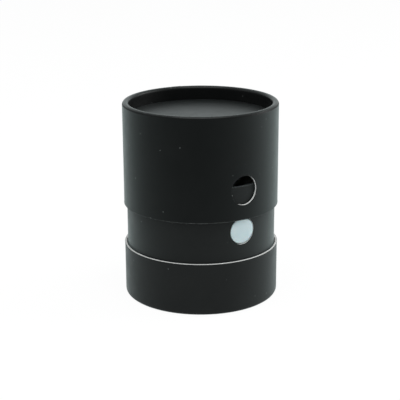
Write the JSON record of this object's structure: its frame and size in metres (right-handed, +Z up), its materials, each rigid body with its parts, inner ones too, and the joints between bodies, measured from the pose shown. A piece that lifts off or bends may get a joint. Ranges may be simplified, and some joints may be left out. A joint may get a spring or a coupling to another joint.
{
  "type": "cylindrical gift tube box",
  "caption": "Round paper tube box: a lid with a rolled, recessed top slides over a neck, and a sprung press button in the neck locks it through a round hole.",
  "frame": {"origin": "centre of the base, on the surface that it stands on", "axes": "+Z up along the tubes' common axis, and -Y out of the wall through the press button and the hole in the lid"},
  "size_m": [0.076, 0.076, 0.0965],
  "materials": {
    "black_paper": "matte soft-touch black cover paper",
    "raw_board": "raw cut edge of pale wound board",
    "white_paper": "uncoated white lining paper",
    "pale_plastic": "moulded pale blue-white plastic, satin",
    "adhesive_tape": "thin double-sided tape"
  },
  "bodies": {
    "base": {"base_core": "raw_board", "base_wrap": "black_paper", "base_disc": "raw_board", "base_disc_facing": "black_paper", "base_floor_lining": "white_paper", "neck_core": "raw_board", "neck_wrap": "black_paper", "neck_liner": "white_paper", "latch_plate": "pale_plastic", "latch_tape": "adhesive_tape"},
    "button": {"release_button": "pale_plastic"},
    "lid": {"lid_core": "raw_board", "lid_wrap": "black_paper", "lid_liner": "black_paper", "lid_disc": "raw_board", "lid_disc_facing": "black_paper", "lid_disc_lining": "black_paper"}
  },
  "joints": [
    {"name": "lid_lift", "type": "slide", "parent": "base", "child": "lid", "axis": [0, 0, 1], "range_m": [-0.0201, 0.035]},
    {"name": "button_press", "type": "hinge", "parent": "base", "child": "button", "pos_m": [0, -0.0346, 0.0561], "axis": [1, 0, 0], "range_deg": [-4.64, 6.4], "stiffness_Nm_per_rad": 0.2, "springref_deg": -4.64}
  ]
}
